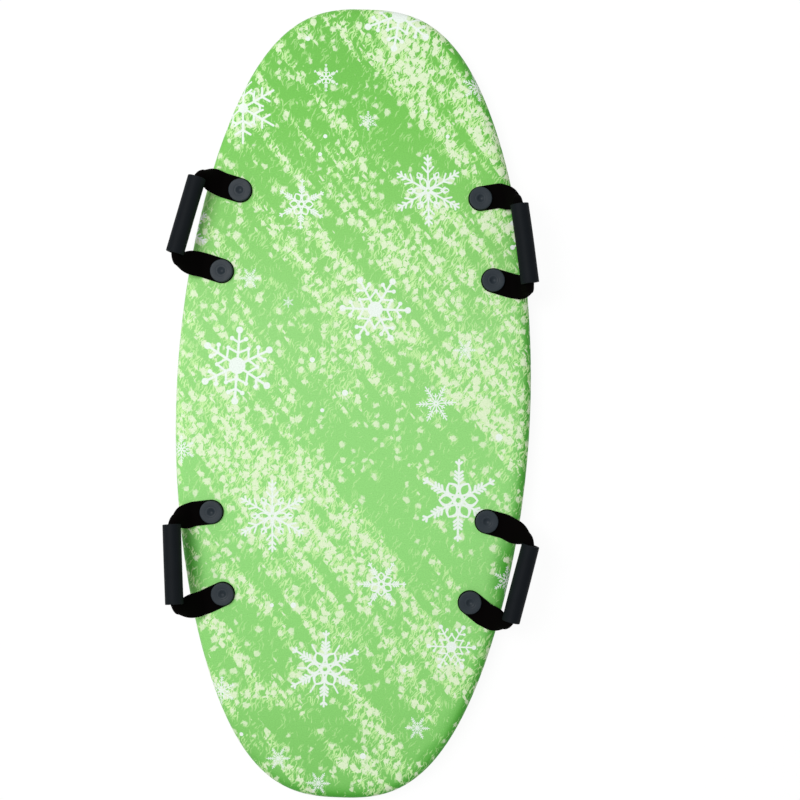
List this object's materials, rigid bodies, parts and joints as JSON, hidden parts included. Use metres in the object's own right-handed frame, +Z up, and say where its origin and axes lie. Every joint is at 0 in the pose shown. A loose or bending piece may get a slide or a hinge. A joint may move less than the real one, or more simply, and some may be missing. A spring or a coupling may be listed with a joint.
{
  "type": "foam snow sled",
  "caption": "Long oval foam board for sliding on snow, with a printed deck skin, a slick underside, and webbing handles with foam grips along its rails.",
  "frame": {"origin": "on the ground under the middle of the board", "axes": "+Y points to the nose, +X to a rider's right and +Z up, from the slick bottom to the deck"},
  "size_m": [0.5788, 1.219, 0.1035],
  "materials": {
    "printed_skin": "pebbled foam film with a mottled green print and pale snowflakes",
    "foam_core": "closed-cell foam",
    "slick_sheet": "smooth slick sheet",
    "webbing": "woven black webbing",
    "grip_foam": "matt closed-cell foam tube",
    "button_plastic": "satin moulded plastic"
  },
  "bodies": {
    "board": {"foam_core": "foam_core", "deck_skin": "printed_skin", "slick_bottom": "slick_sheet", "front_left_fore_button": "button_plastic", "front_left_fore_socket": "button_plastic", "front_left_aft_button": "button_plastic", "front_left_aft_socket": "button_plastic", "front_right_fore_button": "button_plastic", "front_right_fore_socket": "button_plastic", "front_right_aft_button": "button_plastic", "front_right_aft_socket": "button_plastic", "rear_left_fore_button": "button_plastic", "rear_left_fore_socket": "button_plastic", "rear_left_aft_button": "button_plastic", "rear_left_aft_socket": "button_plastic", "rear_right_fore_button": "button_plastic", "rear_right_fore_socket": "button_plastic", "rear_right_aft_button": "button_plastic", "rear_right_aft_socket": "button_plastic"},
    "front_left_handle": {"front_left_strap": "webbing"},
    "front_left_sleeve": {"front_left_grip": "grip_foam"},
    "front_right_handle": {"front_right_strap": "webbing"},
    "front_right_sleeve": {"front_right_grip": "grip_foam"},
    "rear_left_handle": {"rear_left_strap": "webbing"},
    "rear_left_sleeve": {"rear_left_grip": "grip_foam"},
    "rear_right_handle": {"rear_right_strap": "webbing"},
    "rear_right_sleeve": {"rear_right_grip": "grip_foam"}
  },
  "joints": [
    {"name": "front_left_swing", "type": "hinge", "parent": "board", "child": "front_left_handle", "pos_m": [-0.21939, 0.26315, 0.0455], "axis": [0.1878, 0.9822, 0], "range_deg": [-45, 90], "deforming": ["front_left_strap"]},
    {"name": "front_left_grip_turn", "type": "hinge", "parent": "front_left_handle", "child": "front_left_sleeve", "pos_m": [-0.26099, 0.27557, 0.08007], "axis": [-0.2383, -0.9701, 0.0467], "continuous": true},
    {"name": "front_right_swing", "type": "hinge", "parent": "board", "child": "front_right_handle", "pos_m": [0.21939, 0.26315, 0.0455], "axis": [0.1878, -0.9822, 0], "range_deg": [-60, 70], "deforming": ["front_right_strap"]},
    {"name": "front_right_grip_turn", "type": "hinge", "parent": "front_right_handle", "child": "front_right_sleeve", "pos_m": [0.25136, 0.24991, 0.0872], "axis": [-0.1721, 0.9846, 0.0311], "continuous": true},
    {"name": "rear_left_swing", "type": "hinge", "parent": "board", "child": "rear_left_handle", "pos_m": [-0.22352, -0.24051, 0.0455], "axis": [-0.1706, 0.9853, 0], "range_deg": [-50, 80], "deforming": ["rear_left_strap"]},
    {"name": "rear_left_grip_turn", "type": "hinge", "parent": "rear_left_handle", "child": "rear_left_sleeve", "pos_m": [-0.26138, -0.25151, 0.08402], "axis": [0.0847, -0.9915, 0.0985], "continuous": true},
    {"name": "rear_right_swing", "type": "hinge", "parent": "board", "child": "rear_right_handle", "pos_m": [0.22352, -0.24051, 0.0455], "axis": [-0.1706, -0.9853, 0], "range_deg": [-45, 90], "deforming": ["rear_right_strap"]},
    {"name": "rear_right_grip_turn", "type": "hinge", "parent": "rear_right_handle", "child": "rear_right_sleeve", "pos_m": [0.26414, -0.26282, 0.07638], "axis": [0.2137, 0.9763, 0.0344], "continuous": true}
  ]
}
